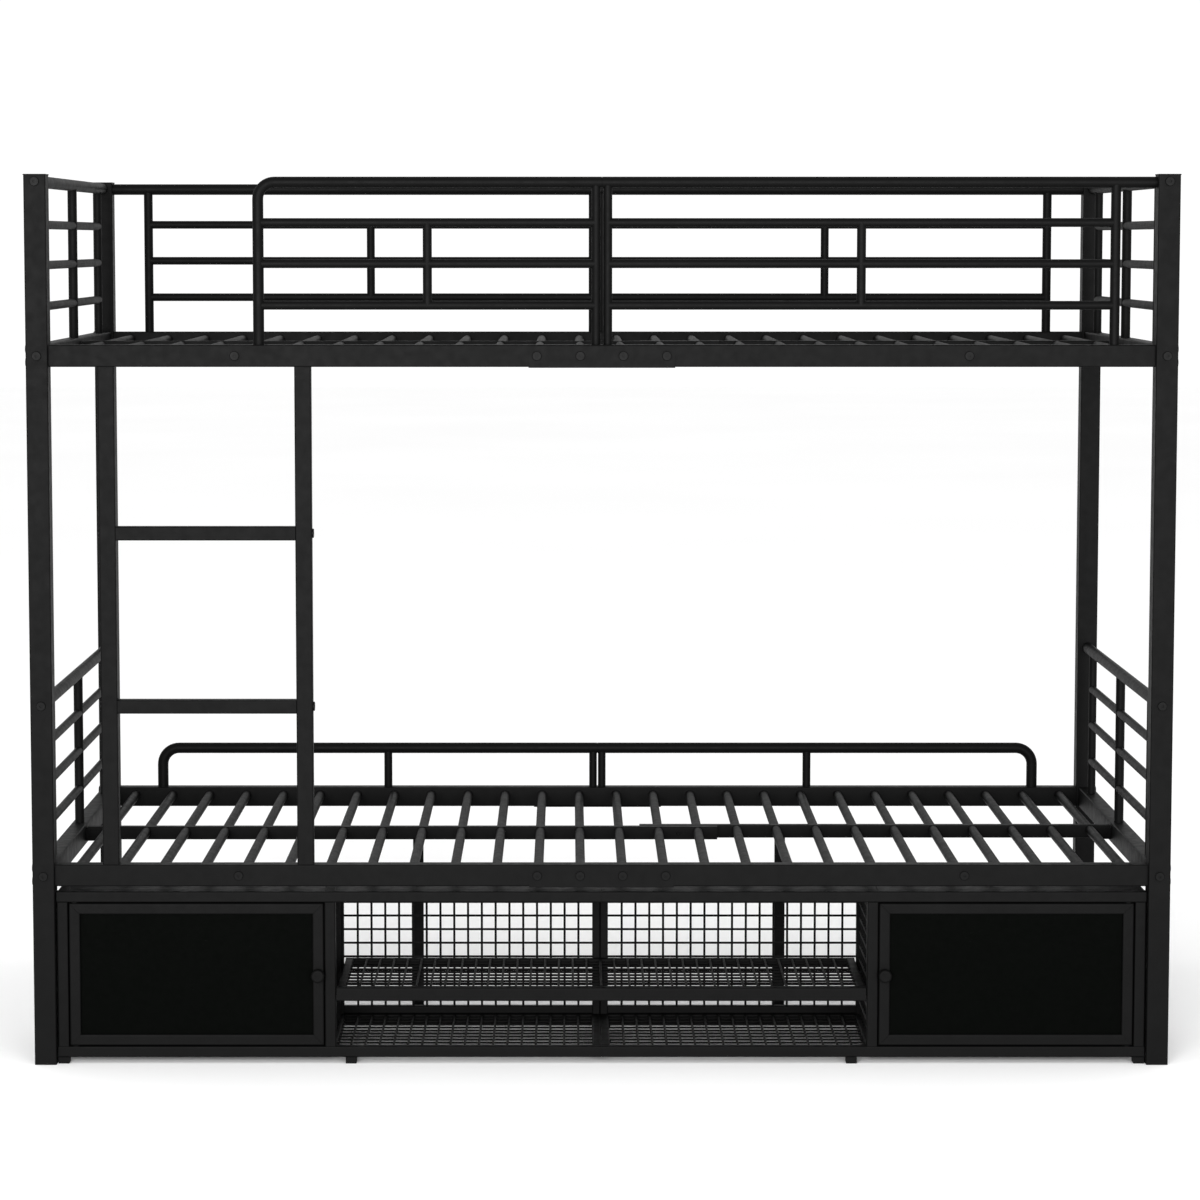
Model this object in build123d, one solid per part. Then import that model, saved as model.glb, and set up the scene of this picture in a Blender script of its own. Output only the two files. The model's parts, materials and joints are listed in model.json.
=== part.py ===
from build123d import *
import os

# Metal bunk bed with a storage unit under the lower bunk. Millimetres, +Z up, origin on the floor
# under the middle of the bed, X along the bed and the front at -Y.

# Overall sizes
bed_length = 2080.0
bed_width = 980.0
post_size = 40.0
post_wall = 1.5
post_height = 1622.0
corner_radius = 2.5
foot_height = 3.0
cap_height = 2.0
cap_overhang = 1.0
cap_plug_depth = 5.0
foot_plug_depth = 15.0
plug_clearance = 0.2

# Decks
lower_deck_top = 370.0
upper_deck_top = 1320.0
rail_height = 40.0
rail_depth = 30.0
rail_setback = 10.0
rail_wall = 1.5
end_plate = 8.0
slats_per_half = 13
slat_pitch = 77.12
slat_diameter = 18.0
slat_wall = 1.2
slat_drop = 16.0
slat_engagement = 8.0
slat_clearance = 0.2

# Centre supports, their hangers and the two legs under the lower one
support_height = 25.0
support_depth = 20.0
support_wall = 1.2
support_cover = 1.0
support_lap_start = 79.0
support_lap_end = 231.0
hanger_sheet = 2.0
hanger_length = 28.0
hanger_clearance = 0.3
leg_size = 20.0
leg_wall = 1.2
leg_offset = 355.0

# Splices of the side rails
splice_length = 265.0
splice_sheet = 1.5
splice_bolt_inner = 39.0
splice_bolt_outer = 117.5
spare_bolt_offset = 664.0

# End panels, heights above their deck's top
panel_top_rise = 293.6
panel_bar_rises = (67.5, 142.7, 216.2)
panel_top_diameter = 22.0
panel_bar_diameter = 16.0
panel_side_diameter = 16.0
panel_middle_diameter = 18.0
panel_side_offset = 368.0
panel_wall = 1.2

# Guards of the upper bunk, heights above the deck's top
guard_top_rise = 292.4
guard_bar_rises = (71.0, 146.0, 220.0)
guard_bar_diameter = 16.0
guard_middle_diameter = 16.5
guard_end_diameter = 18.0
guard_front_diameter = 20.0
guard_rear_diameter = 22.0
guard_wall = 1.2
guard_inner_offset = 10.7
guard_end_offset = 927.4
guard_middle_offset = 468.7
guard_entry_offset = 620.9
guard_entry_middle = 315.3
guard_bend_radius = 30.0
guard_spigot_length = 60.0
guard_seam = 0.6

# Low guard at the back of the lower bunk
low_guard_rise = 81.0
low_guard_diameter = 22.0
low_guard_bend_radius = 34.0
low_guard_end_offset = 908.4
low_guard_middle_offset = 437.4
low_guard_inner_offset = 9.15
low_guard_middle_diameter = 16.8

# Pegs that seat the guards and the ladder
peg_diameter = 10.0
peg_length = 10.0
peg_plug = 12.0
peg_clearance = 0.2

# Ladder
ladder_rail_width = 30.0
ladder_depth = 25.0
ladder_wall = 1.5
ladder_left = 897.5
ladder_right = 541.5
step_height = 25.0
step_rises = (290.5, 607.5)

# Bolts
bolt_diameter = 8.0
bolt_head_diameter = 17.0
bolt_head_height = 3.2
bolt_head_chamfer = 0.9
bolt_socket = 5.0
bolt_socket_depth = 2.2
bolt_clearance = 0.2
bolt_reach = 16.0
rail_bolt_spread = 12.0
short_bolt_length = 12.0
small_bolt_diameter = 5.0
small_head_diameter = 8.0
small_head_height = 2.6
small_bolt_socket = 3.0
low_head_height = 1.3

# Storage unit
unit_end_gap = 2.0
unit_setback = 11.0
unit_depth = 294.0
unit_top = 320.0
unit_tube = 20.0
unit_wall = 1.2
unit_foot_height = 12.0
unit_foot_offset = 460.0
partition_offset = 497.5
centre_joist_width = 16.0
back_tube = 15.0
back_wall = 1.2
unit_spigot_length = 60.0
unit_seam = 0.6
sheet_thickness = 1.5

# Welded mesh
wire_diameter = 4.3
mesh_pitch = 26.4
mesh_edge = 2.0
back_first_row = 15.7

# Middle shelf
shelf_end_gap = 1.5
shelf_top = 141.5
shelf_front_height = 25.0
shelf_rear_height = 15.0
shelf_tube = 15.0
shelf_wall = 1.2

# Doors
door_gap = 1.8
door_thickness = 14.0
door_stile = 20.5
door_mitre_gap = 0.3
door_wall = 1.2
door_edge_radius = 3.0
door_panel_recess = 7.0
door_panel_thickness = 3.0
door_panel_clearance = 0.15
door_pivot_inset = 10.0
pivot_diameter = 6.0
pivot_engagement = 7.0
pivot_running_clearance = 0.06
bush_wall = 1.5
bush_flange = 2.0
bush_play = 0.3
knob_diameter = 24.5
knob_length = 20.0
knob_neck_diameter = 11.0
knob_neck_length = 7.0
knob_edge_radius = 4.0
catch_length = 40.0
catch_depth = 15.0
catch_height = 15.0
catch_offset = 12.0
catch_play = 0.3

# Worked out from the above
half_length = bed_length / 2
half_width = bed_width / 2
post_x = half_length - post_size / 2
post_y = half_width - post_size / 2
inner_x = half_length - post_size
inner_y = half_width - post_size
steel_top = foot_height + post_height
rail_y = half_width - rail_setback - rail_depth / 2
rail_outer_y = rail_y + rail_depth / 2
rail_inner_y = rail_y - rail_depth / 2
slat_offsets = [slat_pitch * (k + 0.5) for k in range(slats_per_half)]
slat_half_length = rail_inner_y + slat_engagement
panel_rail_inner_x = post_x - rail_depth / 2
decks = (("lower", lower_deck_top), ("upper", upper_deck_top))
sides = (("left", -1), ("right", 1))
faces = (("front", -1), ("rear", 1))
unit_end = inner_x - unit_end_gap
unit_front = -half_width + unit_setback
unit_back = unit_front + unit_depth
unit_y = unit_front + unit_tube / 2
unit_rear_y = unit_back - unit_tube / 2
unit_floor = unit_foot_height + unit_tube
unit_ceiling = unit_top - unit_tube
unit_end_x = unit_end - unit_tube / 2
cabinet_inner = partition_offset + unit_tube / 2
cabinet_outer = unit_end - unit_tube
bay_edge = partition_offset - unit_tube / 2
unit_low_z = unit_foot_height + unit_tube / 2
unit_high_z = unit_top - unit_tube / 2
unit_bolt_y = unit_front + unit_tube + small_head_diameter / 2 + plug_clearance
back_y = unit_back - back_tube / 2
shelf_end = bay_edge - shelf_end_gap
shelf_back = unit_back - back_tube
shelf_bolt_z = shelf_top - wire_diameter - small_head_diameter / 2 - 2 * plug_clearance
door_back = unit_front + door_thickness
door_inner = cabinet_inner + door_gap
door_outer = cabinet_outer - door_gap
door_bottom = unit_floor + door_gap
door_top = unit_ceiling - door_gap
pivot_x = door_outer - door_pivot_inset
pivot_y = unit_front + door_thickness / 2
bush_diameter = pivot_diameter + 2 * pivot_running_clearance + 2 * bush_wall
knob_x = door_inner + door_stile / 2
knob_z = (door_bottom + door_top) / 2


# Shapes


def box(low, high):
    """A block between two opposite corners."""
    low, high = Vector(*low), Vector(*high)
    return Pos((low + high) / 2) * Box(*(high - low))


def rod(start, end, diameter):
    """A round bar from one point to another."""
    start, end = Vector(*start), Vector(*end)
    section = Plane(origin=start, z_dir=end - start) * Circle(diameter / 2)
    return extrude(section, amount=(end - start).length)


def round_tube(start, end, diameter, wall):
    """A round tube that is open at both ends."""
    start, end = Vector(*start), Vector(*end)
    ring = Circle(diameter / 2) - Circle(diameter / 2 - wall)
    return extrude(Plane(origin=start, z_dir=end - start) * ring, amount=(end - start).length)


def section_plane(start, end):
    """The plane of a tube's section, with its width level."""
    along = end - start
    level = (0, 1, 0) if abs(along.X) > abs(along.Y) + abs(along.Z) else (1, 0, 0)
    return Plane(origin=start, x_dir=level, z_dir=along)


def square_bar(start, end, width, height, radius=corner_radius):
    """A solid bar with rounded long edges."""
    start, end = Vector(*start), Vector(*end)
    outline = RectangleRounded(width, height, radius)
    return extrude(section_plane(start, end) * outline, amount=(end - start).length)


def square_tube(start, end, width, height, wall, closed=0.0, radius=corner_radius):
    """A square or rectangular tube, with a wall of the given thickness across its far end if closed."""
    start, end = Vector(*start), Vector(*end)
    outer = square_bar(start, end, width, height, radius)
    stop = end - (end - start).normalized() * closed
    return outer - square_bar(start, stop, width - 2 * wall, height - 2 * wall, radius - wall)


def bent_tube(points, radius, diameter, wall):
    """A round tube along straight runs with one bend radius."""
    path = FilletPolyline(*points, radius=radius)
    start = Vector(*points[0])
    ring = Circle(diameter / 2) - Circle(diameter / 2 - wall)
    return sweep(Plane(origin=start, z_dir=Vector(*points[1]) - start) * ring, path=path)


def bolt(seat, outward, diameter, length, head_diameter, head_height, socket):
    """A socket bolt whose head's underside is at the seat."""
    head = Pos(0, 0, head_height / 2) * Cylinder(head_diameter / 2, head_height)
    head = chamfer(head.edges().sort_by(Axis.Z)[-1], min(bolt_head_chamfer, head_height / 2))
    hexagon = RegularPolygon(socket / 2, 6, major_radius=False)
    head -= Pos(0, 0, head_height) * extrude(hexagon, amount=-min(bolt_socket_depth, head_height - 0.4))
    shank = Pos(0, 0, -length / 2) * Cylinder(diameter / 2, length)
    return Plane(origin=seat, z_dir=outward) * (head + shank)


def frame_bolt(seat, outward, length):
    """One of the bed's own bolts."""
    return bolt(
        seat, outward, bolt_diameter, length, bolt_head_diameter, bolt_head_height, bolt_socket
    )


def small_bolt(seat, outward, length, head_height=small_head_height):
    """One of the storage unit's bolts."""
    return bolt(
        seat, outward, small_bolt_diameter, length, small_head_diameter, head_height, small_bolt_socket
    )


def washer(start, end, diameter, hole):
    """A flat ring between two points on its axis."""
    return rod(start, end, diameter) - rod(start, end, hole)


def bolt_hole(start, end, diameter=bolt_diameter):
    """The clearance hole of a bolt."""
    return rod(start, end, diameter + 2 * bolt_clearance)


def peg_hole(start, end):
    """The hole that a peg drops into."""
    return rod(start, end, peg_diameter + 2 * peg_clearance)


def peg(face, outward, bore):
    """A plug in a tube's end with a peg that stands out of it, made in one piece."""
    face, outward = Vector(*face), Vector(*outward)
    plug = rod(face, face - outward * peg_plug, bore - 2 * plug_clearance)
    return plug + rod(face, face + outward * peg_length, peg_diameter)


def grille(plane, width, height, columns, rows):
    """A flat mesh about the plane's origin, one wire thick, with the wires at the given places."""
    half = wire_diameter / 2

    def gaps(places, span):
        lows = [-span / 2 + mesh_edge] + [place + half for place in places]
        highs = [place - half for place in places] + [span / 2 - mesh_edge]
        return list(zip(lows, highs))

    holes = []
    for left, right in gaps(columns, width):
        for low, high in gaps(rows, height):
            centre = Pos((left + right) / 2, (low + high) / 2)
            holes.append((centre * Rectangle(right - left, high - low)).face().outer_wire())
    sheet = Face(Rectangle(width, height).face().outer_wire(), holes)
    return plane.offset(-half) * extrude(sheet, amount=wire_diameter)


def spaced(span, pitch=mesh_pitch):
    """The places of evenly spaced wires across a span about its middle, near the given pitch."""
    spaces = max(round(span / pitch), 2)
    return [span * k / spaces - span / 2 for k in range(1, spaces)]


# Posts, with their caps and feet


def post(side, face):
    """A corner post with the holes of everything that is bolted or pegged to it."""
    x, y = side * post_x, face * post_y
    solid = square_tube((x, y, foot_height), (x, y, steel_top), post_size, post_size, post_wall)
    outer_y = face * half_width
    holes = []
    for _, deck in decks:
        middle = deck - rail_height / 2
        for z in (middle, deck + panel_top_rise):
            holes.append(bolt_hole((x, outer_y, z), (x, face * inner_y, z)))
        for z in (middle - rail_bolt_spread, middle + rail_bolt_spread):
            start, end = (side * half_length, face * rail_y, z), (side * inner_x, face * rail_y, z)
            holes.append(bolt_hole(start, end))
    if face > 0 or side > 0:
        z = upper_deck_top + guard_top_rise
        start = (side * inner_x, face * rail_y, z)
        holes.append(peg_hole(start, (side * (inner_x + 2 * post_wall), face * rail_y, z)))
    if face < 0:
        for z in (unit_low_z, unit_high_z):
            start = (side * inner_x, unit_bolt_y, z)
            end = (side * (inner_x + 2 * post_wall), unit_bolt_y, z)
            holes.append(bolt_hole(start, end, small_bolt_diameter))
    return solid - holes


def end_cover(x, y, face_z, upward, size, wall, thickness, overhang, plug_depth):
    """A plastic cover with a hollow plug that presses into a square tube's end."""
    outline = RectangleRounded(size + 2 * overhang, size + 2 * overhang, corner_radius)
    plate = extrude(Pos(x, y, face_z) * outline, amount=upward * thickness)
    plate = chamfer(plate.faces().sort_by(Axis.Z)[-1 if upward > 0 else 0].edges(), overhang or 0.5)
    bore = size - 2 * wall - 2 * plug_clearance
    plug = RectangleRounded(bore, bore, 1.0) - RectangleRounded(bore - 4, bore - 4, 0.5)
    return plate + extrude(Pos(x, y, face_z) * plug, amount=-upward * plug_depth)


def posts():
    nodes = {}
    for face_name, face in faces:
        for side_name, side in sides:
            nodes[f"post_{face_name}_{side_name}"] = [post(side, face)]
    corners = [(side * post_x, face * post_y) for _, face in faces for _, side in sides]
    nodes["post_caps"] = [
        end_cover(x, y, steel_top, 1, post_size, post_wall, cap_height, cap_overhang, cap_plug_depth)
        for x, y in corners
    ]
    feet = [
        end_cover(x, y, foot_height, -1, post_size, post_wall, foot_height, 0.0, foot_plug_depth)
        for x, y in corners
    ]
    feet += [
        end_cover(
            side * leg_offset, support_y(side), foot_height, -1,
            leg_size, leg_wall, foot_height, 0.0, foot_plug_depth,
        )
        for _, side in sides
    ]
    nodes["floor_feet"] = feet
    return nodes


# End panels, each a welded frame with the deck's end rail at its foot


def end_panel(side, deck):
    x = side * post_x
    top = deck + panel_top_rise
    middle = deck - rail_height / 2
    bore = panel_top_diameter - 2 * panel_wall
    rail = square_bar((x, -inner_y, middle), (x, inner_y, middle), rail_depth, rail_height)
    rail -= square_bar(
        (x, -inner_y + end_plate, middle), (x, inner_y - end_plate, middle),
        rail_depth - 2 * rail_wall, rail_height - 2 * rail_wall, corner_radius - rail_wall,
    )
    tube = rod((x, -inner_y, top), (x, inner_y, top), panel_top_diameter)
    tube -= rod((x, -inner_y + bolt_reach, top), (x, inner_y - bolt_reach, top), bore)
    for face in (-1, 1):
        start, inside = face * inner_y, face * (inner_y - end_plate)
        rail -= bolt_hole((x, start, middle), (x, inside, middle))
        tube -= bolt_hole((x, start, top), (x, face * (inner_y - bolt_reach), top))
    uprights = [
        (-panel_side_offset, panel_side_diameter),
        (0.0, panel_middle_diameter),
        (panel_side_offset, panel_side_diameter),
    ]
    top_rod = rod((x, -inner_y, top), (x, inner_y, top), panel_top_diameter)
    solids = [rail, tube]
    upright_rods = []
    for y, diameter in uprights:
        upright = round_tube((x, y, deck), (x, y, top), diameter, panel_wall)
        solids.append(upright - top_rod)
        upright_rods.append(rod((x, y, deck), (x, y, top), diameter))
    for rise in panel_bar_rises:
        z = deck + rise
        for k in range(len(uprights) - 1):
            start, end = (x, uprights[k][0], z), (x, uprights[k + 1][0], z)
            bar = round_tube(start, end, panel_bar_diameter, panel_wall)
            solids.append(bar - upright_rods[k] - upright_rods[k + 1])
    return solids


def end_panels():
    return {
        f"end_panel_{deck_name}_{side_name}": end_panel(side, deck)
        for deck_name, deck in decks
        for side_name, side in sides
    }


# Side rails in two halves, with the splices that join them


def guard_feet(deck_name, side, face):
    """The distances from the middle at which a guard's pegs stand in this rail's top wall."""
    if deck_name == "lower":
        front = []
        rear = [low_guard_inner_offset, low_guard_middle_offset, low_guard_end_offset]
    else:
        front = [guard_inner_offset, guard_end_offset if side > 0 else guard_entry_offset]
        rear = [guard_inner_offset, guard_end_offset]
    return rear if face > 0 else front


def side_rail(deck_name, deck, side, face):
    """Half of a side rail, from the middle of the bed to a post."""
    y = face * rail_y
    z = deck - rail_height / 2
    solid = square_bar((0, y, z), (side * inner_x, y, z), rail_depth, rail_height)
    bore = square_bar(
        (0, y, z), (side * (inner_x - end_plate), y, z),
        rail_depth - 2 * rail_wall, rail_height - 2 * rail_wall, corner_radius - rail_wall,
    )
    holes = [bore]
    for rise in (-rail_bolt_spread, rail_bolt_spread):
        start = (side * inner_x, y, z + rise)
        holes.append(bolt_hole(start, (side * (inner_x - end_plate), y, z + rise)))
    for offset in slat_offsets:
        start = (side * offset, face * rail_inner_y, deck - slat_drop)
        end = (side * offset, face * (rail_inner_y + 2 * rail_wall), deck - slat_drop)
        holes.append(rod(start, end, slat_diameter + 2 * slat_clearance))
    for offset in (splice_bolt_inner, splice_bolt_outer, spare_bolt_offset):
        start = (side * offset, face * rail_outer_y, z)
        end = (side * offset, face * (rail_outer_y - 2 * rail_wall), z)
        holes.append(bolt_hole(start, end))
    for offset in guard_feet(deck_name, side, face):
        start = (side * offset, y, deck)
        holes.append(peg_hole(start, (side * offset, y, deck - 2 * rail_wall)))
    if face < 0 and side < 0:
        ladder_face = deck if deck_name == "lower" else deck - rail_height
        inward = -1 if deck_name == "lower" else 1
        for offset in (ladder_left, ladder_right):
            start = (side * offset, y, ladder_face)
            end = (side * offset, y, ladder_face + inward * 2 * rail_wall)
            holes.append(peg_hole(start, end))
    return solid - holes


def splice(deck, face):
    """The folded plate over a side rail's joint, on its outer face and under it."""
    outer = face * rail_outer_y
    low = deck - rail_height - splice_sheet
    half = splice_length / 2
    plate = box(
        (-half, min(outer, outer + face * splice_sheet), low),
        (half, max(outer, outer + face * splice_sheet), deck - corner_radius),
    )
    inner = face * rail_inner_y
    plate += box((-half, min(inner, outer), low), (half, max(inner, outer), low + splice_sheet))
    z = deck - rail_height / 2
    holes = []
    for offset in (splice_bolt_inner, splice_bolt_outer):
        for side in (-1, 1):
            start = (side * offset, outer, z)
            holes.append(bolt_hole(start, (side * offset, outer + face * splice_sheet, z)))
    return plate - holes


def side_rails():
    nodes = {}
    for deck_name, deck in decks:
        for face_name, face in faces:
            for side_name, side in sides:
                name = f"side_rail_{deck_name}_{face_name}_{side_name}"
                nodes[name] = [side_rail(deck_name, deck, side, face)]
        nodes[f"rail_splices_{deck_name}"] = [splice(deck, face) for _, face in faces]
    return nodes


# Slats, centre supports and the legs under the lower support


def support_z(deck):
    """The height of a centre support's middle, just above which its slats pass through it."""
    return deck - slat_drop + slat_diameter / 2 + support_cover - support_height / 2


def slats(deck):
    z = deck - slat_drop
    return [
        round_tube(
            (side * offset, -slat_half_length, z), (side * offset, slat_half_length, z),
            slat_diameter, slat_wall,
        )
        for side in (-1, 1)
        for offset in slat_offsets
    ]


def support_y(side):
    """Half a centre support lies beside the middle, the left one in front of the right one."""
    return side * support_depth / 2


def centre_support(deck):
    """Two square tubes that lap side by side, with the slats' holes through them and a bolt."""
    z = support_z(deck)
    end = panel_rail_inner_x - hanger_sheet
    lap_middle = slat_pitch * round((support_lap_start + support_lap_end) / 2 / slat_pitch)
    bolt_ends = [(lap_middle, y, z) for y in (-support_depth, support_depth)]
    solids = []
    for side, inner in ((-1, support_lap_end), (1, support_lap_start)):
        y = support_y(side)
        tube = square_tube((inner, y, z), (side * end, y, z), support_depth, support_height, support_wall)
        holes = [bolt_hole(*bolt_ends, small_bolt_diameter)]
        for offset in [mirror * offset for mirror in (-1, 1) for offset in slat_offsets]:
            start = (offset, -2 * support_depth, deck - slat_drop)
            stop = (offset, 2 * support_depth, deck - slat_drop)
            holes.append(rod(start, stop, slat_diameter + 2 * slat_clearance))
        solids += (tube - holes).solids()
    solids.append(small_bolt(bolt_ends[0], (0, -1, 0), 2 * support_depth + small_bolt_diameter))
    return solids


def hanger(side, deck):
    """A folded hanger on an end rail that a centre support's end lies in."""
    face = side * panel_rail_inner_x
    inside = side * (panel_rail_inner_x - hanger_sheet - hanger_length)
    y = support_y(side)
    width = support_depth / 2 + hanger_clearance
    low = support_z(deck) - support_height / 2
    high = low + support_height * 0.8
    outer = box(
        (min(face, inside), y - width - hanger_sheet, low - hanger_sheet),
        (max(face, inside), y + width + hanger_sheet, high),
    )
    back = face - side * hanger_sheet
    return outer - box((min(back, inside), y - width, low), (max(back, inside), y + width, high))


def support_leg(side):
    """A leg from the floor to the underside of the lower centre support."""
    x, y = side * leg_offset, support_y(side)
    top = support_z(lower_deck_top) - support_height / 2
    return square_tube((x, y, foot_height), (x, y, top), leg_size, leg_size, leg_wall, leg_wall)


def decks_and_supports():
    nodes = {}
    for deck_name, deck in decks:
        nodes[f"slats_{deck_name}"] = slats(deck)
        nodes[f"centre_support_{deck_name}"] = centre_support(deck)
    nodes["support_hangers"] = [hanger(side, deck) for _, deck in decks for _, side in sides]
    nodes["support_legs"] = [support_leg(side) for _, side in sides]
    return nodes


# Guards


def guard_bars(side, y, inner, outer, middle, inner_rod, outer_rod):
    """Three level bars between two uprights, and a short upright between the lowest and highest."""
    solids = []
    heights = [upper_deck_top + rise for rise in guard_bar_rises]
    for z in heights:
        bar = round_tube((side * inner, y, z), (side * outer, y, z), guard_bar_diameter, guard_wall)
        solids.append(bar - inner_rod - outer_rod)
    for low, high in zip(heights, heights[1:]):
        start, end = (side * middle, y, low), (side * middle, y, high)
        short = round_tube(start, end, guard_middle_diameter, guard_wall)
        for z in (low, high):
            short -= rod((side * inner, y, z), (side * outer, y, z), guard_bar_diameter)
        solids.append(short)
    return solids


def guard(side, face, diameter):
    """A guard of the upper bunk, from the middle of the bed to a post."""
    y = face * rail_y
    deck = upper_deck_top
    top = deck + guard_top_rise
    bore = diameter - 2 * guard_wall
    start, end = (side * guard_seam / 2, y, top), (side * inner_x, y, top)
    top_rod = rod(start, end, diameter)
    inner, outer = side * guard_inner_offset, side * guard_end_offset
    inner_rod = rod((inner, y, deck), (inner, y, top), guard_bar_diameter)
    outer_rod = rod((outer, y, deck), (outer, y, top), guard_end_diameter)
    inner_tube = round_tube((inner, y, deck), (inner, y, top), guard_bar_diameter, guard_wall)
    outer_tube = round_tube((outer, y, deck), (outer, y, top), guard_end_diameter, guard_wall)
    solids = [
        round_tube(start, end, diameter, guard_wall),
        inner_tube - top_rod,
        outer_tube - top_rod,
        peg((inner, y, deck), (0, 0, -1), guard_bar_diameter - 2 * guard_wall),
        peg((outer, y, deck), (0, 0, -1), guard_end_diameter - 2 * guard_wall),
        peg(end, (side, 0, 0), bore),
    ]
    solids += guard_bars(
        side, y, guard_inner_offset, guard_end_offset, guard_middle_offset, inner_rod, outer_rod
    )
    return solids


def entry_guard():
    """The front guard on the ladder's side, whose top tube bends down to the rail."""
    side, y, deck = -1, -rail_y, upper_deck_top
    top = deck + guard_top_rise
    outer, inner = -guard_entry_offset, -guard_inner_offset
    start, end = (outer, y, deck), (-guard_seam / 2, y, top)
    hoop = bent_tube(
        [start, (outer, y, top), end], guard_bend_radius, guard_front_diameter, guard_wall
    )
    top_rod = rod((outer, y, top), end, guard_front_diameter)
    inner_rod = rod((inner, y, deck), (inner, y, top), guard_bar_diameter)
    outer_rod = rod(start, (outer, y, top - guard_bend_radius), guard_front_diameter)
    inner_tube = round_tube((inner, y, deck), (inner, y, top), guard_bar_diameter, guard_wall)
    solids = [
        hoop,
        inner_tube - top_rod,
        peg((inner, y, deck), (0, 0, -1), guard_bar_diameter - 2 * guard_wall),
        peg(start, (0, 0, -1), guard_front_diameter - 2 * guard_wall),
    ]
    solids += guard_bars(
        side, y, guard_inner_offset, guard_entry_offset, guard_entry_middle, inner_rod, outer_rod
    )
    return solids


def guard_spigot(face, z, diameter):
    """The round spigot inside the butted ends of two guards' top tubes."""
    half = guard_spigot_length / 2
    y = face * rail_y
    return rod((-half, y, z), (half, y, z), diameter - 2 * guard_wall - 2 * plug_clearance)


def low_guard(side):
    """Half of the low guard along the back of the lower bunk."""
    y, deck = rail_y, lower_deck_top
    top = deck + low_guard_rise
    outer = side * low_guard_end_offset
    end = (side * guard_seam / 2, y, top)
    start = (outer, y, deck)
    solids = [
        bent_tube(
            [start, (outer, y, top), end], low_guard_bend_radius, low_guard_diameter, guard_wall
        ),
        peg(start, (0, 0, -1), low_guard_diameter - 2 * guard_wall),
    ]
    top_rod = rod((outer, y, top), end, low_guard_diameter)
    uprights = (
        (low_guard_middle_offset, low_guard_middle_diameter),
        (low_guard_inner_offset, guard_bar_diameter),
    )
    for offset, diameter in uprights:
        x = side * offset
        solids.append(round_tube((x, y, deck), (x, y, top), diameter, guard_wall) - top_rod)
        solids.append(peg((x, y, deck), (0, 0, -1), diameter - 2 * guard_wall))
    return solids


def guards():
    top = upper_deck_top + guard_top_rise
    low_top = lower_deck_top + low_guard_rise
    return {
        "guard_front_left": entry_guard() + [guard_spigot(-1, top, guard_front_diameter)],
        "guard_front_right": guard(1, -1, guard_front_diameter),
        "guard_rear_left": guard(-1, 1, guard_rear_diameter)
        + [guard_spigot(1, top, guard_rear_diameter)],
        "guard_rear_right": guard(1, 1, guard_rear_diameter),
        "low_guard_left": low_guard(-1) + [guard_spigot(1, low_top, low_guard_diameter)],
        "low_guard_right": low_guard(1),
    }


# Ladder between the lower and the upper front rail


def ladder_rail(offset):
    """A ladder rail with a plug and peg in each end and the bolt holes of its steps."""
    x, y = -offset, -rail_y
    low, high = lower_deck_top, upper_deck_top - rail_height
    tube = square_tube((x, y, low), (x, y, high), ladder_rail_width, ladder_depth, ladder_wall)
    half = ladder_rail_width / 2
    for rise in step_rises:
        z = low + rise
        tube -= bolt_hole((x - half, y, z), (x + half, y, z))
    solids = [tube]
    plug_width = ladder_rail_width - 2 * ladder_wall - 2 * plug_clearance
    plug_height = ladder_depth - 2 * ladder_wall - 2 * plug_clearance
    for z, outward in ((low, -1), (high, 1)):
        inside = (x, y, z - outward * peg_plug)
        plug = square_bar((x, y, z), inside, plug_width, plug_height, 1.0)
        solids.append(plug + rod((x, y, z), (x, y, z + outward * peg_length), peg_diameter))
    return solids


def step(rise):
    """A step, closed at each end by a plate that its bolt screws into."""
    y, z = -rail_y, lower_deck_top + rise
    start = -ladder_left + ladder_rail_width / 2
    end = -ladder_right - ladder_rail_width / 2
    tube = square_bar((start, y, z), (end, y, z), ladder_depth, step_height)
    tube -= square_bar(
        (start + end_plate, y, z), (end - end_plate, y, z),
        ladder_depth - 2 * ladder_wall, step_height - 2 * ladder_wall, corner_radius - ladder_wall,
    )
    return tube - bolt_hole((start, y, z), (end, y, z))


def ladder():
    return {
        "ladder_rail_left": ladder_rail(ladder_left),
        "ladder_rail_right": ladder_rail(ladder_right),
        "ladder_steps": [step(rise) for rise in step_rises],
    }


# The bed's bolts


def bolts():
    """The bolts through the posts, the short ones in the side rails and the ladder's."""
    post_bolts, rail_bolts, ladder_bolts = [], [], []
    short_places = [(offset, splice_sheet) for offset in (splice_bolt_inner, splice_bolt_outer)]
    short_places.append((spare_bolt_offset, 0.0))
    corners = [(deck, face, side) for _, deck in decks for _, face in faces for _, side in sides]
    for deck, face, side in corners:
        middle = deck - rail_height / 2
        for z, reach in ((middle, end_plate), (deck + panel_top_rise, bolt_reach)):
            seat = (side * post_x, face * half_width, z)
            post_bolts.append(frame_bolt(seat, (0, face, 0), post_size + reach))
        for rise in (-rail_bolt_spread, rail_bolt_spread):
            seat = (side * half_length, face * rail_y, middle + rise)
            post_bolts.append(frame_bolt(seat, (side, 0, 0), post_size + end_plate))
        for offset, sheet in short_places:
            seat = (side * offset, face * (rail_outer_y + sheet), middle)
            rail_bolts.append(frame_bolt(seat, (0, face, 0), short_bolt_length))
    outer_faces = (
        (-ladder_left - ladder_rail_width / 2, -1),
        (-ladder_right + ladder_rail_width / 2, 1),
    )
    for rise in step_rises:
        for x, outward in outer_faces:
            seat = (x, -rail_y, lower_deck_top + rise)
            length = ladder_rail_width + end_plate
            ladder_bolts.append(frame_bolt(seat, (outward, 0, 0), length))
    return {"post_bolts": post_bolts, "rail_bolts": rail_bolts, "ladder_bolts": ladder_bolts}


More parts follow.
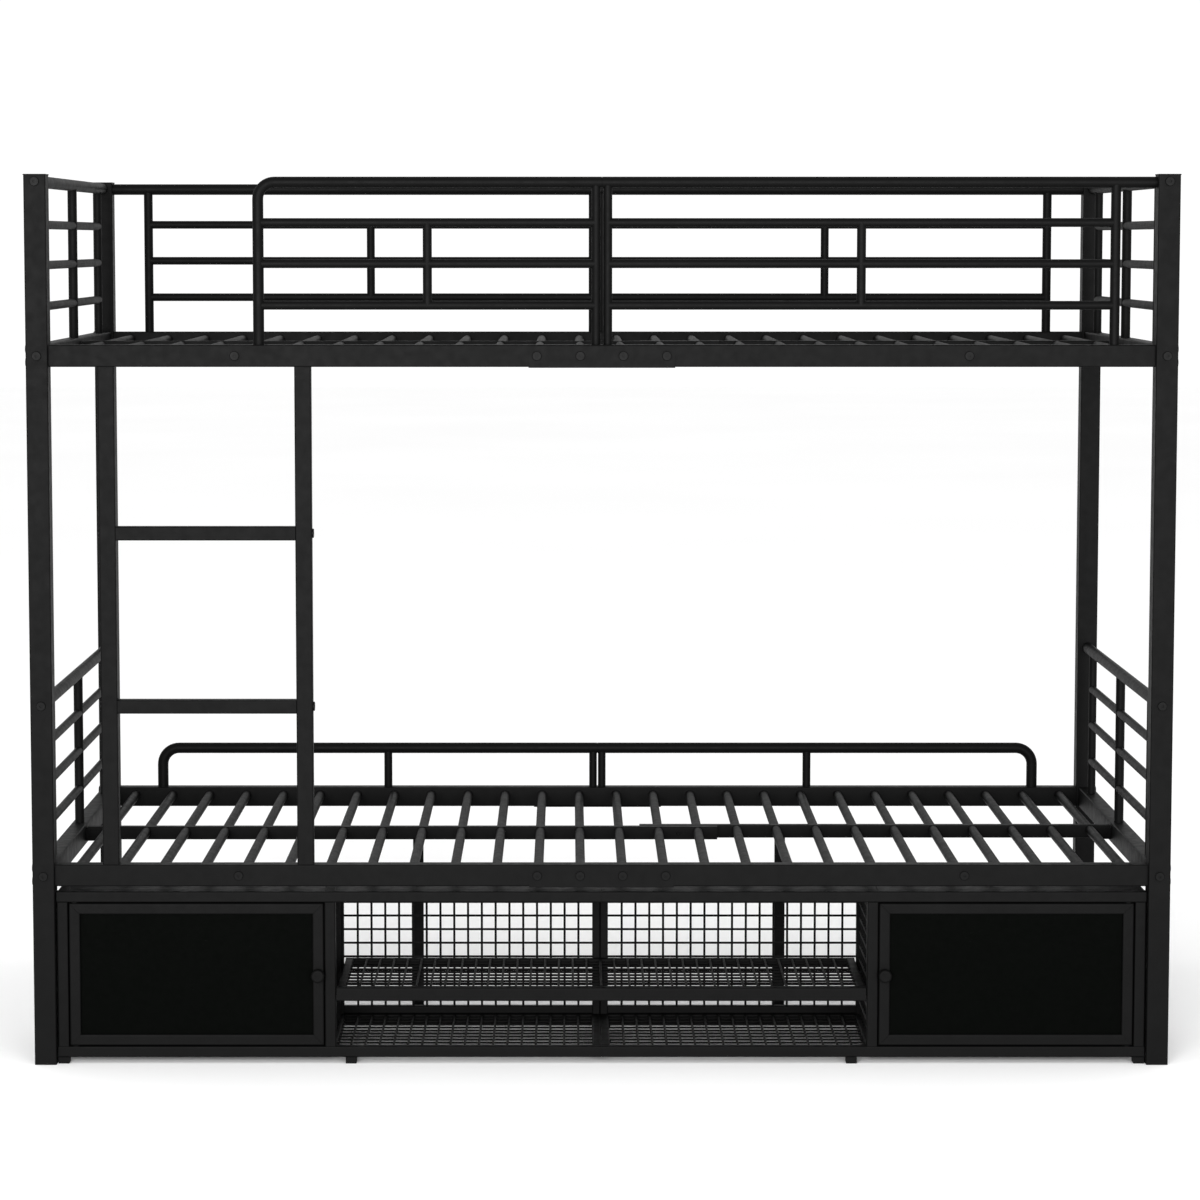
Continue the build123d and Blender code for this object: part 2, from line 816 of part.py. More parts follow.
# Storage unit: two mirrored half frames with mesh walls, a shelf and two doors


def unit_frame(side):
    """Half of the unit's frame, from the middle to one end."""
    def tube(start, end, width=unit_tube, height=unit_tube, closed=0.0):
        return square_tube(start, end, width, height, unit_wall, closed)

    levels = []
    for y in (unit_y, unit_rear_y):
        for z in (unit_low_z, unit_high_z):
            start, end = (side * unit_seam / 2, y, z), (side * unit_end, y, z)
            levels.append(tube(start, end, closed=unit_wall))
    for k, z in ((0, unit_floor), (1, unit_ceiling)):
        start, end = (side * pivot_x, pivot_y, z - 2 * unit_wall), (side * pivot_x, pivot_y, z + 2 * unit_wall)
        levels[k] -= rod(start, end, bush_diameter + 2 * plug_clearance)
    uprights = [
        tube((side * unit_end_x, unit_y, unit_floor), (side * unit_end_x, unit_y, unit_ceiling)),
        tube((side * partition_offset, unit_y, unit_floor), (side * partition_offset, unit_y, unit_ceiling)),
        tube((side * unit_end_x, unit_rear_y, unit_floor), (side * unit_end_x, unit_rear_y, unit_ceiling)),
    ]
    shelf_z = shelf_top - shelf_front_height / 2
    start, end = (side * bay_edge, unit_y, shelf_z), (side * cabinet_inner, unit_y, shelf_z)
    uprights[1] -= bolt_hole(start, end, small_bolt_diameter)
    front, back = unit_front + unit_tube, unit_back - unit_tube
    joists = []
    for z in (unit_low_z, unit_high_z):
        end_joist = tube((side * unit_end_x, front, z), (side * unit_end_x, back, z))
        hole_ends = [(side * x, unit_bolt_y, z) for x in (cabinet_outer, unit_end)]
        joists.append(end_joist - bolt_hole(*hole_ends, small_bolt_diameter))
        joists.append(tube((side * partition_offset, front, z), (side * partition_offset, back, z)))
    x, z = side * centre_joist_width / 2, unit_low_z
    centre = tube((x, front, z), (x, back, z), centre_joist_width)
    holes = [
        bolt_hole((0, y, z), (side * centre_joist_width, y, z), small_bolt_diameter)
        for y in centre_bolt_places()
    ]
    joists.append(centre - holes)
    return levels + uprights + joists


def centre_bolt_places():
    """Where two bolts hold the unit's halves together, along the depth."""
    depth = unit_depth - 2 * unit_tube
    return [unit_front + unit_tube + depth * share for share in (0.25, 0.75)]


def unit_spigots():
    """Square spigots inside the butted front and rear rails of the two halves."""
    width = unit_tube - 2 * unit_wall - 2 * plug_clearance
    half = unit_spigot_length / 2
    return [
        square_bar((-half, y, z), (half, y, z), width, width, 1.0)
        for y in (unit_y, unit_rear_y)
        for z in (unit_low_z, unit_high_z)
    ]


def back_panel(side):
    """The bay's back: a tube frame filled with mesh."""
    low, high = unit_floor, unit_ceiling
    outer = partition_offset + back_tube / 2
    inner_edge = back_tube
    outer_edge = outer - back_tube
    solids = []
    for z in (low + back_tube / 2, high - back_tube / 2):
        start, end = (side * inner_edge, back_y, z), (side * outer_edge, back_y, z)
        solids.append(square_tube(start, end, back_tube, back_tube, back_wall))
    for x in (side * back_tube / 2, side * (outer - back_tube / 2)):
        solids.append(square_tube((x, back_y, low), (x, back_y, high), back_tube, back_tube, back_wall))
    start = (side * back_tube / 2, back_y - back_tube / 2, shelf_bolt_z)
    solids[2] -= bolt_hole(start, (side * back_tube / 2, back_y, shelf_bolt_z), small_bolt_diameter)
    width, height = outer_edge - inner_edge, high - low - 2 * back_tube
    plane = Plane(
        origin=(side * (inner_edge + outer_edge) / 2, back_y, (low + high) / 2),
        x_dir=(1, 0, 0), z_dir=(0, -1, 0),
    )
    row_count = int((height - back_first_row) / mesh_pitch) + 1
    rows = [back_first_row + mesh_pitch * k - height / 2 for k in range(row_count)]
    return solids, grille(plane, width, height, spaced(width), rows)


def level_mesh(low_x, high_x, low_y, high_y, top):
    """A mesh that lies level with its upper face at the given height."""
    width, depth = high_x - low_x, high_y - low_y
    origin = ((low_x + high_x) / 2, (low_y + high_y) / 2, top - wire_diameter / 2)
    return grille(Plane(origin=origin), width, depth, spaced(width), spaced(depth))


def ordered(first, second):
    return (first, second) if first < second else (second, first)


def cabinet_sheets(side):
    """The floor, back and outer end of one cabinet, each a sheet between the frame's tubes."""
    front, back = unit_front + unit_tube, unit_back - unit_tube
    half = sheet_thickness / 2
    low_x, high_x = ordered(side * cabinet_inner, side * cabinet_outer)
    back_low, back_high = ordered(side * (partition_offset + back_tube / 2), side * cabinet_outer)
    end = side * unit_end_x
    return [
        box((low_x, front, unit_floor - sheet_thickness), (high_x, back, unit_floor)),
        box((back_low, unit_rear_y - half, unit_floor), (back_high, unit_rear_y + half, unit_ceiling)),
        box((end - half, front, unit_floor), (end + half, back, unit_ceiling)),
    ]


def partition_mesh(side):
    """The mesh between a cabinet and the open bay."""
    front, back = unit_front + unit_tube, unit_back - back_tube
    span, height = back - front, unit_ceiling - unit_floor
    plane = Plane(
        origin=(side * partition_offset, (front + back) / 2, (unit_ceiling + unit_floor) / 2),
        x_dir=(0, 1, 0), z_dir=(1, 0, 0),
    )
    return grille(plane, span, height, spaced(span), spaced(height))


def top_sheets():
    """The unit's top: one sheet in each opening of the frame."""
    front, back = unit_front + unit_tube, unit_back - unit_tube
    sheets = []
    for side in (-1, 1):
        for inner, outer in ((unit_seam / 2, bay_edge), (cabinet_inner, cabinet_outer)):
            low_x, high_x = ordered(side * inner, side * outer)
            sheets.append(box((low_x, front, unit_top - sheet_thickness), (high_x, back, unit_top)))
    return sheets


def bay_floor(side):
    front, back = unit_front + unit_tube, unit_back - unit_tube
    low_x, high_x = ordered(side * centre_joist_width, side * bay_edge)
    return level_mesh(low_x, high_x, front, back, unit_floor)


def middle_shelf():
    """The open bay's shelf: a tube frame and the mesh in it."""
    front_z = shelf_top - shelf_front_height / 2
    rear_z = shelf_top - shelf_rear_height / 2
    rear_y = shelf_back - shelf_tube / 2
    front_inner = unit_front + unit_tube
    rear_inner = shelf_back - shelf_tube
    front_rail = square_tube(
        (-shelf_end, unit_y, front_z), (shelf_end, unit_y, front_z),
        unit_tube, shelf_front_height, shelf_wall,
    )
    rear_rail = square_tube(
        (-shelf_end, rear_y, rear_z), (shelf_end, rear_y, rear_z),
        shelf_tube, shelf_rear_height, shelf_wall,
    )
    plug_width = unit_tube - 2 * shelf_wall - 2 * plug_clearance
    plug_height = shelf_front_height - 2 * shelf_wall - 2 * plug_clearance
    frame = [front_rail]
    for side in (-1, 1):
        hole_start = (side * back_tube / 2, rear_y - shelf_tube / 2, shelf_bolt_z)
        hole_end = (side * back_tube / 2, shelf_back, shelf_bolt_z)
        rear_rail -= bolt_hole(hole_start, hole_end, small_bolt_diameter)
        end, inside = (side * shelf_end, unit_y, front_z), (side * (shelf_end - peg_plug), unit_y, front_z)
        plug = square_bar(end, inside, plug_width, plug_height, 1.0)
        frame.append(plug - bolt_hole(end, inside, small_bolt_diameter))
        x = side * (shelf_end - shelf_tube / 2)
        start, stop = (x, front_inner, rear_z), (x, rear_inner, rear_z)
        frame.append(square_tube(start, stop, shelf_tube, shelf_rear_height, shelf_wall))
    frame.append(rear_rail)
    inner = shelf_end - shelf_tube
    return frame, level_mesh(-inner, inner, front_inner, rear_inner, shelf_top)


def unit_fixings():
    """The bolts and washers that hold the unit to the front posts, its halves together and its shelf."""
    solids = []
    hole = small_bolt_diameter + 2 * bolt_clearance
    shelf_front_z = shelf_top - shelf_front_height / 2
    for side in (-1, 1):
        for z in (unit_low_z, unit_high_z):
            seat = (side * cabinet_outer, unit_bolt_y, z)
            length = unit_tube + unit_end_gap + 2 * post_wall
            solids.append(small_bolt(seat, (-side, 0, 0), length))
            ends = [(side * x, unit_bolt_y, z) for x in (unit_end, inner_x)]
            solids.append(washer(*ends, small_head_diameter, hole))
        seat = (side * cabinet_inner, unit_y, shelf_front_z)
        length = unit_tube + shelf_end_gap + peg_plug
        solids.append(small_bolt(seat, (side, 0, 0), length, low_head_height))
        ends = [(side * x, unit_y, shelf_front_z) for x in (shelf_end, bay_edge)]
        solids.append(washer(*ends, small_head_diameter, hole))
        seat = (side * back_tube / 2, shelf_back - shelf_tube, shelf_bolt_z)
        solids.append(small_bolt(seat, (0, -1, 0), shelf_tube + back_tube / 2))
    for y in centre_bolt_places():
        seat = (centre_joist_width, y, unit_low_z)
        solids.append(small_bolt(seat, (1, 0, 0), 2 * centre_joist_width))
    return solids


def unit_foot(x, y):
    """A plastic block under a bottom rail."""
    half = unit_tube / 2
    block = box((x - half, y - half, 0), (x + half, y + half, unit_foot_height))
    return chamfer(block.faces().sort_by(Axis.Z)[0].edges(), 1.0)


def unit_feet():
    feet = []
    for side in (-1, 1):
        feet.append(unit_foot(side * unit_end_x, unit_y))
        feet.append(unit_foot(side * unit_end_x, unit_rear_y))
        feet.append(unit_foot(side * unit_foot_offset, unit_y))
    return feet


def storage_unit():
    nodes = {}
    meshes = []
    for side_name, side in sides:
        frame = unit_frame(side)
        if side < 0:
            frame += unit_spigots()
        nodes[f"unit_frame_{side_name}"] = frame
        panel, mesh = back_panel(side)
        nodes[f"back_frame_{side_name}"] = panel
        nodes[f"cabinet_sheets_{side_name}"] = cabinet_sheets(side)
        meshes += [mesh, bay_floor(side), partition_mesh(side)]
    nodes["bay_meshes"] = meshes
    nodes["unit_top_sheets"] = top_sheets()
    frame, mesh = middle_shelf()
    nodes["shelf_frame"] = frame
    nodes["shelf_mesh"] = [mesh]
    nodes["unit_feet"] = unit_feet()
    nodes["unit_fixings"] = unit_fixings()
    return nodes


# Doors


def door_frame(side):
    """Four mitred tubes around the door's edge, with the pivots' holes in the top and bottom ones."""
    low_x, high_x = ordered(side * door_inner, side * door_outer)
    half = door_stile / 2
    middle_x = (low_x + high_x) / 2
    plane = Plane(origin=(middle_x, pivot_y, knob_z), x_dir=(1, 0, 0), z_dir=(0, -1, 0))
    width, height = (high_x - low_x) / 2, (door_top - door_bottom) / 2
    corners = [(-width, -height), (width, -height), (width, height), (-width, height)]
    inner = [
        (x - door_stile * (1 if x > 0 else -1), z - door_stile * (1 if z > 0 else -1))
        for x, z in corners
    ]
    runs = [
        ((low_x, door_bottom + half), (high_x, door_bottom + half)),
        ((high_x - half, door_bottom), (high_x - half, door_top)),
        ((high_x, door_top - half), (low_x, door_top - half)),
        ((low_x + half, door_top), (low_x + half, door_bottom)),
    ]
    members = []
    for k, (start, end) in enumerate(runs):
        following = (k + 1) % 4
        level = k % 2 == 0
        ends = [corners[k], corners[following], inner[following], inner[k]]
        if level:
            ends = [(x - door_mitre_gap * (1 if x > 0 else -1), z) for x, z in ends]
        else:
            ends = [(x, z - door_mitre_gap * (1 if z > 0 else -1)) for x, z in ends]
        outline = Polygon(*ends, align=None)
        tube = square_tube(
            (start[0], pivot_y, start[1]), (end[0], pivot_y, end[1]),
            door_thickness if level else door_stile, door_stile if level else door_thickness,
            door_wall, radius=door_edge_radius,
        )
        members.append(tube & plane * extrude(outline, amount=door_thickness, both=True))
    hole = pivot_diameter + 2 * plug_clearance
    for k, z in ((0, door_bottom), (2, door_top)):
        start = (side * pivot_x, pivot_y, z - 2 * door_wall)
        members[k] -= rod(start, (side * pivot_x, pivot_y, z + 2 * door_wall), hole)
    screw = bolt_hole((side * knob_x, unit_front, knob_z), (side * knob_x, door_back, knob_z), small_bolt_diameter)
    free_stile = 3 if side > 0 else 1
    members[free_stile] -= screw
    return members


def door_panel(side):
    """The flat sheet inside the frame, set back from its front."""
    low_x, high_x = ordered(
        side * (door_inner + door_stile + door_panel_clearance),
        side * (door_outer - door_stile - door_panel_clearance),
    )
    margin = door_stile + door_panel_clearance
    front = unit_front + door_panel_recess
    return box(
        (low_x, front, door_bottom + margin), (high_x, front + door_panel_thickness, door_top - margin)
    )


def door_pivot(side, edge_z, outward):
    """A block inside a corner of the door's frame, with the pin that stands out of it."""
    x = side * pivot_x
    reach = door_wall + plug_clearance
    low_x, high_x = ordered(side * (door_outer - reach), side * (door_outer - door_stile + reach))
    half = door_thickness / 2 - reach
    low_z, high_z = ordered(edge_z - outward * reach, edge_z - outward * (door_stile - reach))
    block = box((low_x, pivot_y - half, low_z), (high_x, pivot_y + half, high_z))
    block = fillet(block.edges(), door_edge_radius - door_wall)
    end = edge_z + outward * (door_gap + pivot_engagement)
    return block + rod((x, pivot_y, edge_z - outward * 2 * reach), (x, pivot_y, end), pivot_diameter)


def door_knob(side):
    """A round knob on a neck, and the screw that holds it from the door's back."""
    x = side * knob_x
    seat = Plane(origin=(x, unit_front, knob_z), z_dir=(0, -1, 0))
    neck = Pos(0, 0, knob_neck_length / 2) * Cylinder(knob_neck_diameter / 2, knob_neck_length)
    head_length = knob_length - knob_neck_length
    head = Pos(0, 0, knob_neck_length + head_length / 2) * Cylinder(knob_diameter / 2, head_length)
    head = fillet(head.edges().sort_by(Axis.Z)[-1], knob_edge_radius)
    head = fillet(head.edges().filter_by(GeomType.CIRCLE).sort_by(Axis.Z)[0], knob_edge_radius / 3)
    tapped = small_bolt_diameter + 2 * bolt_clearance
    depth = knob_length * 0.6
    knob = neck + head - Pos(0, 0, depth / 2) * Cylinder(tapped / 2, depth)
    screw = small_bolt((x, door_back, knob_z), (0, 1, 0), door_thickness + depth * 0.8)
    return [seat * knob, screw]


def pivot_bush(side, face_z, outward):
    """A flanged plastic bush in the unit's frame, which a door's pin turns in."""
    x = side * pivot_x
    bore = pivot_diameter + 2 * pivot_running_clearance
    end = face_z - outward * (pivot_engagement + bush_wall)
    flange_end = face_z + outward * (door_gap - bush_play)
    body = rod((x, pivot_y, face_z), (x, pivot_y, end), bush_diameter)
    flange = rod((x, pivot_y, face_z), (x, pivot_y, flange_end), bush_diameter + 2 * bush_flange)
    return body + flange - rod((x, pivot_y, end), (x, pivot_y, flange_end), bore)


def door_catch(side):
    """A magnetic catch under the unit's top rail, just behind the closed door's free edge."""
    low_x, high_x = ordered(
        side * (cabinet_inner + catch_offset), side * (cabinet_inner + catch_offset + catch_length)
    )
    front = door_back + catch_play
    return box(
        (low_x, front, unit_ceiling - catch_height), (high_x, front + catch_depth, unit_ceiling)
    )


def doors():
    nodes = {}
    for side_name, side in sides:
        nodes[f"door_frame_{side_name}"] = door_frame(side)
        nodes[f"door_panel_{side_name}"] = [door_panel(side)]
        nodes[f"door_knob_{side_name}"] = door_knob(side)
        nodes[f"door_pivots_{side_name}"] = [
            door_pivot(side, door_bottom, -1),
            door_pivot(side, door_top, 1),
        ]
    nodes["pivot_bushes"] = [
        pivot_bush(side, z, outward)
        for _, side in sides
        for z, outward in ((unit_floor, 1), (unit_ceiling, -1))
    ]
    nodes["door_catches"] = [door_catch(side) for _, side in sides]
    return nodes


def all_nodes():
    nodes = {}
    for group in (
        posts, end_panels, side_rails, decks_and_supports, guards, ladder, bolts, storage_unit, doors
    ):
        nodes.update(group())
    return nodes


os.makedirs("parts", exist_ok=True)
for name, shapes in all_nodes().items():
    solids = [solid for shape in shapes for solid in shape.solids()]
    export_step(Compound(label=name, children=solids), f"parts/{name}.step")
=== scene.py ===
import json
from math import radians

import bpy
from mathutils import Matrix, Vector


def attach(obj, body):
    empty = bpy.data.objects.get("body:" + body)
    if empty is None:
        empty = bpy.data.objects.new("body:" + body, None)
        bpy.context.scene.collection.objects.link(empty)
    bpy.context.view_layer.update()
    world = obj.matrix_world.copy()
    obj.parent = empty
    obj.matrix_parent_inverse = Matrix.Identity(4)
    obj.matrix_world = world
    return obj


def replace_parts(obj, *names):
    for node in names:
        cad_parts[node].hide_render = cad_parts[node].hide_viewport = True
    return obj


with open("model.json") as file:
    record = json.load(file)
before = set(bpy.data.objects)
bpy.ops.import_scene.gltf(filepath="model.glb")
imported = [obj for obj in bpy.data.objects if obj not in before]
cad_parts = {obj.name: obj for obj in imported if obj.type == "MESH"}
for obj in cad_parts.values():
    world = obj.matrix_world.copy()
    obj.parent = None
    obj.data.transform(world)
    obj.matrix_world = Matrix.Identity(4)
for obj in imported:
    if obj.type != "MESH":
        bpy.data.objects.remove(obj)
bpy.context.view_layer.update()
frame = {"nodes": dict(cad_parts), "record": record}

# Sizes in metres, in the part's own frame

WIRE = 0.0043
MESH_PITCH = 0.0264
LAYER = 0.0009
WIRE_SIDES = 12
SMOOTH_ANGLE = 40
UNIT_FRONT = -0.479
UNIT_BACK = -0.185
UNIT_TUBE = 0.020
BACK_TUBE = 0.015
UNIT_FLOOR = 0.032
UNIT_CEILING = 0.300
PARTITION = 0.4975
CENTRE_JOIST = 0.016
SHELF_TOP = 0.1415
SHELF_END = 0.486
SHELF_TUBE = 0.015
BACK_FIRST_ROW = 0.0157

# The photograph's camera, fitted to the object's edges

PHOTO_SIZE = 1200
FOCAL_PIXELS = 3565.7
CENTRE_X, CENTRE_Y = 569.0, 557.25
CAMERA_PLACE = (-0.0594, -6.9278, 1.507)
CAMERA_PITCH = 5.07
SENSOR_WIDTH = 36.0
FAR_CLIP = 200.0

# Finishes: scales are per metre, colours are linear

MOTTLE_SCALE = 14.0
GLOSS_SCALE = 60.0
PEEL_DEPTH = 0.0002
FLECK_SCALE = 260.0
FLECK_EDGE = (0.06, 0.11)
PATCH_SCALE = 22.0
PATCH_EDGE = (0.56, 0.66)
SHEET_COLOUR = (0.0005, 0.0007, 0.0005, 1.0)
FLECK_COLOUR = (0.006, 0.0065, 0.006, 1.0)
SHEET_GRAIN = 90.0
SHEET_GLOSS = (0.5, 0.62)
SHEET_SPECULAR = 0.012

# A colour Mix node's sockets: its factor, its two colours and its result

MIX_FACTOR, MIX_FIRST, MIX_SECOND = 0, 6, 7
MIX_RESULT = 2

# Floor and lamps

FLOOR_SIZE = 60
FLOOR_PATCH_SCALE = 0.4
FLOOR_TONE = (0.93, 0.95)
FLOOR_ROUGHNESS = 0.9
FLOOR_SPECULAR = 0.1
WORLD_STRENGTH = 1.05
LAMP_AIM = (0.0, 0.0, 0.8)
LAMP_SIZE = 3.0
KEY_PLACE, KEY_POWER = (-1.6, -7.5, 1.9), 580.0
FILL_PLACE, FILL_POWER = (2.4, -7.5, 1.5), 320.0


# Materials


def new_material(name):
    """A node material with object coordinates ready to use."""
    material = bpy.data.materials.new(name)
    material.use_nodes = True
    nodes, links = material.node_tree.nodes, material.node_tree.links
    place = nodes.new("ShaderNodeTexCoord").outputs["Object"]
    return material, nodes, links, nodes["Principled BSDF"], place


def noise(nodes, links, place, scale, detail):
    texture = nodes.new("ShaderNodeTexNoise")
    texture.inputs["Scale"].default_value = scale
    texture.inputs["Detail"].default_value = detail
    links.new(place, texture.inputs["Vector"])
    return texture.outputs["Fac"]


def ramp(nodes, links, value, low, high, low_at=0.3, high_at=0.7):
    """A ramp between two colours."""
    node = nodes.new("ShaderNodeValToRGB")
    node.color_ramp.elements[0].position = low_at
    node.color_ramp.elements[0].color = low
    node.color_ramp.elements[1].position = high_at
    node.color_ramp.elements[1].color = high
    links.new(value, node.inputs["Fac"])
    return node.outputs["Color"]


def grey(level):
    return (level, level, level, 1.0)


def coated(name, dark, light, roughness, spread, grain, bump, specular):
    """A coated surface: slight mottling, uneven gloss and a fine orange-peel relief."""
    material, nodes, links, shader, place = new_material(name)
    mottle = noise(nodes, links, place, MOTTLE_SCALE, 4.0)
    links.new(ramp(nodes, links, mottle, grey(dark), grey(light)), shader.inputs["Base Color"])
    gloss = noise(nodes, links, place, GLOSS_SCALE, 3.0)
    rough = ramp(nodes, links, gloss, grey(roughness - spread), grey(roughness + spread))
    links.new(rough, shader.inputs["Roughness"])
    peel = nodes.new("ShaderNodeBump")
    peel.inputs["Strength"].default_value = bump
    peel.inputs["Distance"].default_value = PEEL_DEPTH
    links.new(noise(nodes, links, place, grain, 2.0), peel.inputs["Height"])
    links.new(peel.outputs["Normal"], shader.inputs["Normal"])
    shader.inputs["Specular IOR Level"].default_value = specular
    return material


def flecked(name):
    """The doors' near-black sheet, with faint sparse light flecks."""
    material, nodes, links, shader, place = new_material(name)
    cells = nodes.new("ShaderNodeTexVoronoi")
    cells.inputs["Scale"].default_value = FLECK_SCALE
    links.new(place, cells.inputs["Vector"])
    fleck = ramp(nodes, links, cells.outputs["Distance"], grey(1.0), grey(0.0), *FLECK_EDGE)
    cloud = noise(nodes, links, place, PATCH_SCALE, 3.0)
    patch = ramp(nodes, links, cloud, grey(0.0), grey(1.0), *PATCH_EDGE)
    both = nodes.new("ShaderNodeMix")
    both.data_type = "RGBA"
    both.blend_type = "MULTIPLY"
    both.inputs[MIX_FACTOR].default_value = 1.0
    links.new(fleck, both.inputs[MIX_FIRST])
    links.new(patch, both.inputs[MIX_SECOND])
    mix = nodes.new("ShaderNodeMix")
    mix.data_type = "RGBA"
    links.new(both.outputs[MIX_RESULT], mix.inputs[MIX_FACTOR])
    mix.inputs[MIX_FIRST].default_value = SHEET_COLOUR
    mix.inputs[MIX_SECOND].default_value = FLECK_COLOUR
    links.new(mix.outputs[MIX_RESULT], shader.inputs["Base Color"])
    low_gloss, high_gloss = SHEET_GLOSS
    grain = noise(nodes, links, place, SHEET_GRAIN, 2.0)
    rough = ramp(nodes, links, grain, grey(low_gloss), grey(high_gloss))
    links.new(rough, shader.inputs["Roughness"])
    shader.inputs["Specular IOR Level"].default_value = SHEET_SPECULAR
    return material


powder = coated(
    "powder_coat", dark=0.0017, light=0.0022, roughness=0.52, spread=0.05,
    grain=1400.0, bump=0.12, specular=0.05,
)
bolt_coat = coated(
    "bolt_coat", dark=0.0016, light=0.0021, roughness=0.42, spread=0.05,
    grain=2600.0, bump=0.06, specular=0.06,
)
plastic = coated(
    "moulded_plastic", dark=0.0018, light=0.0023, roughness=0.58, spread=0.06,
    grain=3200.0, bump=0.10, specular=0.05,
)
sheet = flecked("door_sheet")

SLOT_MATERIALS = {
    "black_steel": powder,
    "black_bolts": bolt_coat,
    "black_plastic": plastic,
    "door_sheet": sheet,
}


def dress_cad():
    """Gives each carried node the material of its record slot."""
    slots = {part["node"]: part["material_slot"] for part in frame["record"]["subparts"]}
    for name, node in frame["nodes"].items():
        node.data.materials.clear()
        node.data.materials.append(SLOT_MATERIALS[slots[name]])


dress_cad()


# Welded wire meshes


def spaced(span):
    """The places of evenly spaced wires across a span about its middle."""
    spaces = max(round(span / MESH_PITCH), 2)
    return [span * k / spaces - span / 2 for k in range(1, spaces)]


def wire(start, end):
    """One round wire between two points."""
    start, end = Vector(start), Vector(end)
    along = end - start
    bpy.ops.mesh.primitive_cylinder_add(
        vertices=WIRE_SIDES, radius=WIRE / 2, depth=along.length, location=(start + end) / 2,
        rotation=along.to_track_quat("Z", "Y").to_euler(),
    )
    return bpy.context.object


def wire_mesh(centre, across, up, width, height, rows=None):
    """The crossing wires of one flat mesh, in two layers that are welded where they cross."""
    centre, across, up = Vector(centre), Vector(across), Vector(up)
    layer = across.cross(up) * LAYER
    wires = []
    for place in spaced(width):
        middle = centre + across * place + layer
        wires.append(wire(middle - up * height / 2, middle + up * height / 2))
    for place in rows or spaced(height):
        middle = centre + up * place - layer
        wires.append(wire(middle - across * width / 2, middle + across * width / 2))
    return wires


def join(name, objects):
    """Joins objects into one named, smooth-shaded piece that rides with the frame."""
    bpy.ops.object.select_all(action="DESELECT")
    for item in objects:
        item.select_set(True)
    bpy.context.view_layer.objects.active = objects[0]
    bpy.ops.object.join()
    piece = bpy.context.object
    bpy.ops.object.transform_apply(location=True, rotation=True, scale=True)
    bpy.ops.object.shade_smooth_by_angle(angle=radians(SMOOTH_ANGLE))
    piece.name = name
    piece.data.materials.clear()
    piece.data.materials.append(powder)
    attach(piece, "frame")
    return piece


def level_wires(low_x, high_x, low_y, high_y, top):
    """A level mesh over a rectangle, with its upper side at the given height."""
    centre = ((low_x + high_x) / 2, (low_y + high_y) / 2, top - WIRE / 2)
    return wire_mesh(centre, (1, 0, 0), (0, 1, 0), high_x - low_x, high_y - low_y)


def unit_meshes():
    """The storage unit's open meshes, in place of the plain holed sheets."""
    front, back = UNIT_FRONT + UNIT_TUBE, UNIT_BACK - UNIT_TUBE
    middle_z = (UNIT_FLOOR + UNIT_CEILING) / 2
    height = UNIT_CEILING - UNIT_FLOOR
    bay_edge = PARTITION - UNIT_TUBE / 2
    panel_outer = PARTITION - BACK_TUBE / 2
    back_height = height - 2 * BACK_TUBE
    row_count = int((back_height - BACK_FIRST_ROW) / MESH_PITCH) + 1
    rows = [BACK_FIRST_ROW + MESH_PITCH * k - back_height / 2 for k in range(row_count)]
    partition_back = UNIT_BACK - BACK_TUBE
    wires = []
    for side in (-1, 1):
        low_x, high_x = sorted((side * CENTRE_JOIST, side * bay_edge))
        wires += level_wires(low_x, high_x, front, back, UNIT_FLOOR)
        wires += wire_mesh(
            (side * (BACK_TUBE + panel_outer) / 2, UNIT_BACK - BACK_TUBE / 2, middle_z),
            (1, 0, 0), (0, 0, 1), panel_outer - BACK_TUBE, back_height, rows,
        )
        centre = (side * PARTITION, (front + partition_back) / 2, middle_z)
        wires += wire_mesh(centre, (0, 1, 0), (0, 0, 1), partition_back - front, height)
    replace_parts(join("bay_wires", wires), "bay_meshes")
    inner = SHELF_END - SHELF_TUBE
    rear = UNIT_BACK - BACK_TUBE - SHELF_TUBE
    shelf = level_wires(-inner, inner, front, rear, SHELF_TOP)
    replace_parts(join("shelf_wires", shelf), "shelf_mesh")


unit_meshes()


# Stage, light and camera


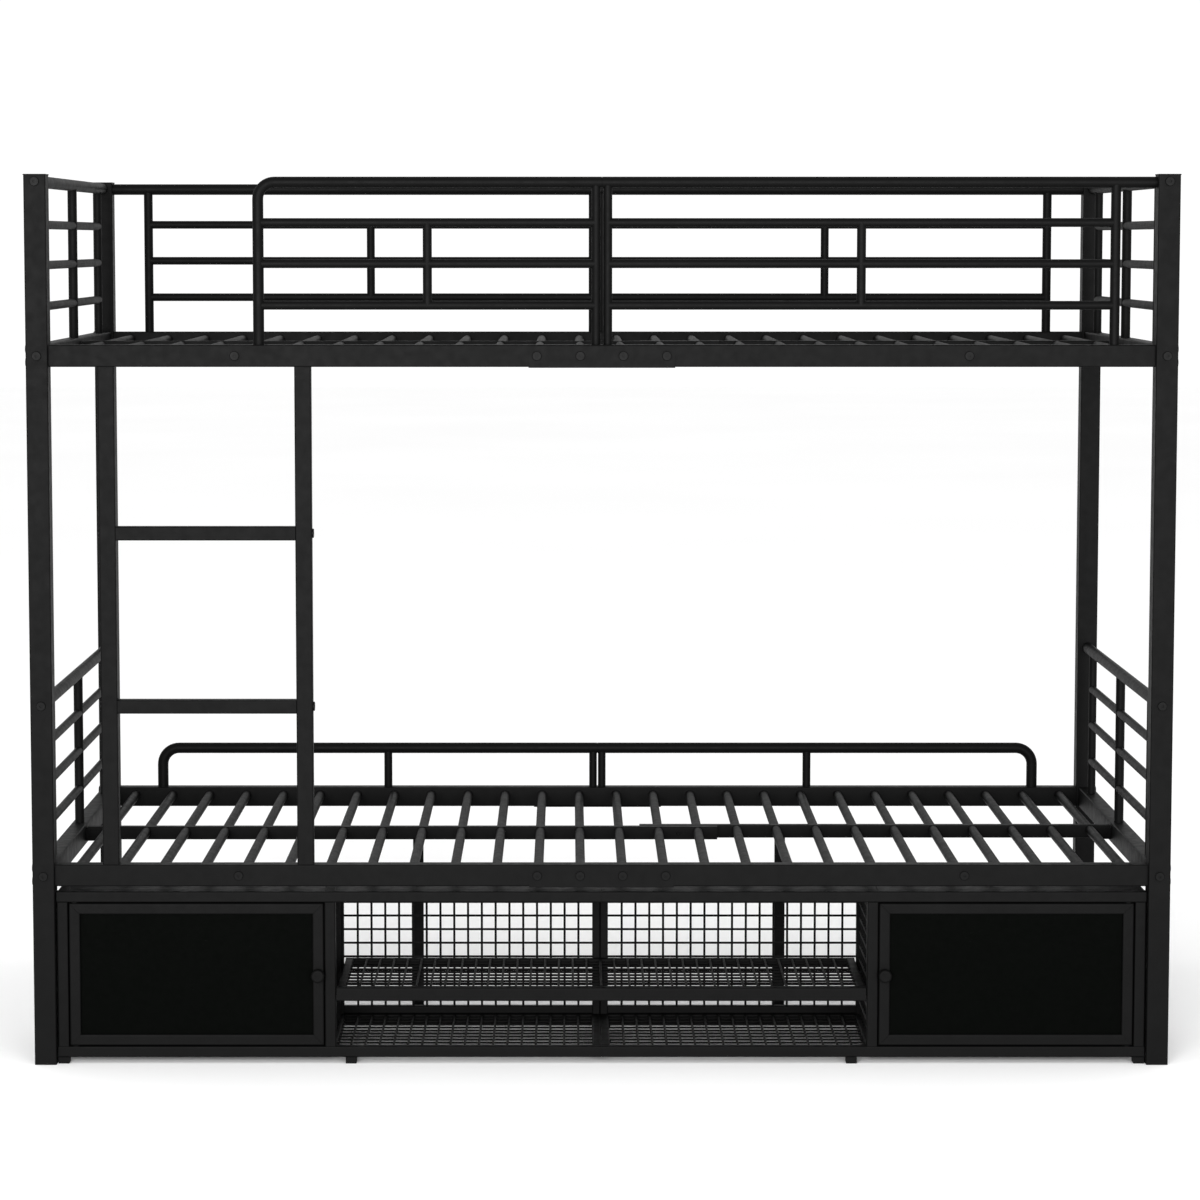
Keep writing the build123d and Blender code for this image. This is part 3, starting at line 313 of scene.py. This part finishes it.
def stage():
    """A white floor that runs far behind the bed."""
    bpy.ops.mesh.primitive_plane_add(size=FLOOR_SIZE, location=(0, 0, 0))
    floor = bpy.context.object
    floor.name = "floor"
    material, nodes, links, shader, place = new_material("pale_floor")
    low_tone, high_tone = FLOOR_TONE
    cloud = noise(nodes, links, place, FLOOR_PATCH_SCALE, 2.0)
    tone = ramp(nodes, links, cloud, grey(low_tone), grey(high_tone))
    links.new(tone, shader.inputs["Base Color"])
    shader.inputs["Roughness"].default_value = FLOOR_ROUGHNESS
    shader.inputs["Specular IOR Level"].default_value = FLOOR_SPECULAR
    floor.data.materials.append(material)


def area_light(name, place, aim, size, power):
    bpy.ops.object.light_add(type="AREA", location=place)
    lamp = bpy.context.object
    lamp.name = name
    lamp.data.size = size
    lamp.data.energy = power
    lamp.rotation_euler = (Vector(aim) - Vector(place)).to_track_quat("-Z", "Y").to_euler()
    return lamp


def light():
    world = bpy.data.worlds.new("studio")
    world.use_nodes = True
    bpy.context.scene.world = world
    background = world.node_tree.nodes["Background"]
    background.inputs["Color"].default_value = (1.0, 1.0, 1.0, 1.0)
    background.inputs["Strength"].default_value = WORLD_STRENGTH
    area_light("key", KEY_PLACE, LAMP_AIM, LAMP_SIZE, KEY_POWER)
    area_light("fill", FILL_PLACE, LAMP_AIM, LAMP_SIZE, FILL_POWER)


def camera():
    data = bpy.data.cameras.new("camera")
    data.sensor_width = SENSOR_WIDTH
    data.lens = FOCAL_PIXELS * data.sensor_width / PHOTO_SIZE
    data.shift_x = 0.5 - CENTRE_X / PHOTO_SIZE
    data.shift_y = CENTRE_Y / PHOTO_SIZE - 0.5
    data.clip_end = FAR_CLIP
    item = bpy.data.objects.new("camera", data)
    item.location = CAMERA_PLACE
    item.rotation_euler = (radians(90.0 - CAMERA_PITCH), 0.0, 0.0)
    bpy.context.collection.objects.link(item)
    bpy.context.scene.camera = item


stage()
light()
camera()
bpy.context.scene.view_settings.view_transform = "Standard"
bpy.context.scene.view_settings.look = "None"
